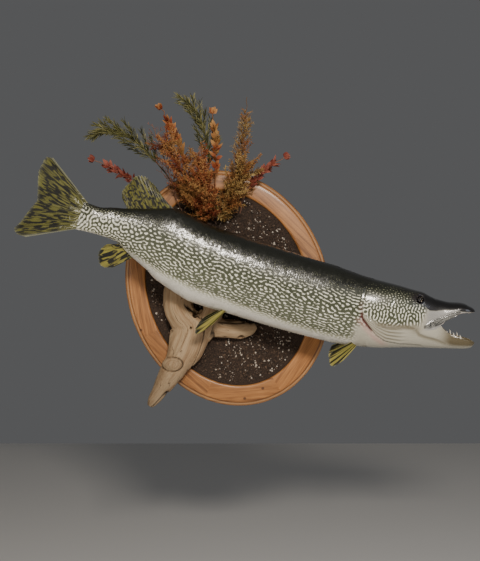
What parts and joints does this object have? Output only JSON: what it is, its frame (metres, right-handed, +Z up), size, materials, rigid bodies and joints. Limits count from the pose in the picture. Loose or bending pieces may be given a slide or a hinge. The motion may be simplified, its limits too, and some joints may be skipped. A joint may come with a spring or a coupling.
{
  "type": "mounted pike",
  "caption": "Life-size pike wall mount: the fish swims open-mouthed before an oval wooden plaque of soil, driftwood and dried plants.",
  "frame": {"origin": "centre of the plaque's back face, on the wall plane y = 0", "axes": "+Z up, +Y into the wall, +X along the fish towards its head; its right side faces -Y"},
  "size_m": [0.9962, 0.1986, 0.7269],
  "materials": {
    "skin": "painted fish skin under clear gloss lacquer",
    "mouth": "painted and lacquered mouth lining",
    "eye": "polished taxidermy glass eye",
    "fins": "painted fin skin under clear lacquer",
    "rim_wood": "satin varnished honey-brown wood",
    "plywood": "plain sanded back board",
    "soil": "dark potting soil fixed with glue",
    "driftwood": "weathered dry driftwood",
    "green_plant": "dried olive-green sprays",
    "tan_plant": "dried tan sprays",
    "red_plant": "dried red sprays",
    "rust_plant": "dried rust-orange sprays"
  },
  "bodies": {
    "root": {"back_panel": "plywood", "wood_rim": "rim_wood", "soil_bed": "soil", "trunk_front": "skin", "trunk_middle": "skin", "trunk_rear": "skin", "tail_stem": "skin", "head": "skin", "upper_jaw": "skin", "lower_jaw": "skin", "gill_cover_right": "skin", "gill_cover_left": "skin", "maxilla_right": "skin", "maxilla_left": "skin", "tongue": "mouth", "eye_right": "eye", "eye_left": "eye", "tail_fin": "fins", "back_fin": "fins", "anal_fin": "fins", "chest_fin_right": "fins", "chest_fin_left": "fins", "belly_fin_right": "fins", "belly_fin_left": "fins", "driftwood": "driftwood", "fern_left": "green_plant", "fern_top": "green_plant", "spire_right": "tan_plant", "bush_right": "tan_plant", "sprig_red_left": "red_plant", "sprig_red_right": "red_plant", "twig_pink": "red_plant", "sprig_rust_left": "rust_plant", "sprig_rust_top": "rust_plant", "bush_left": "rust_plant", "bush_middle": "rust_plant"}
  },
  "joints": []
}
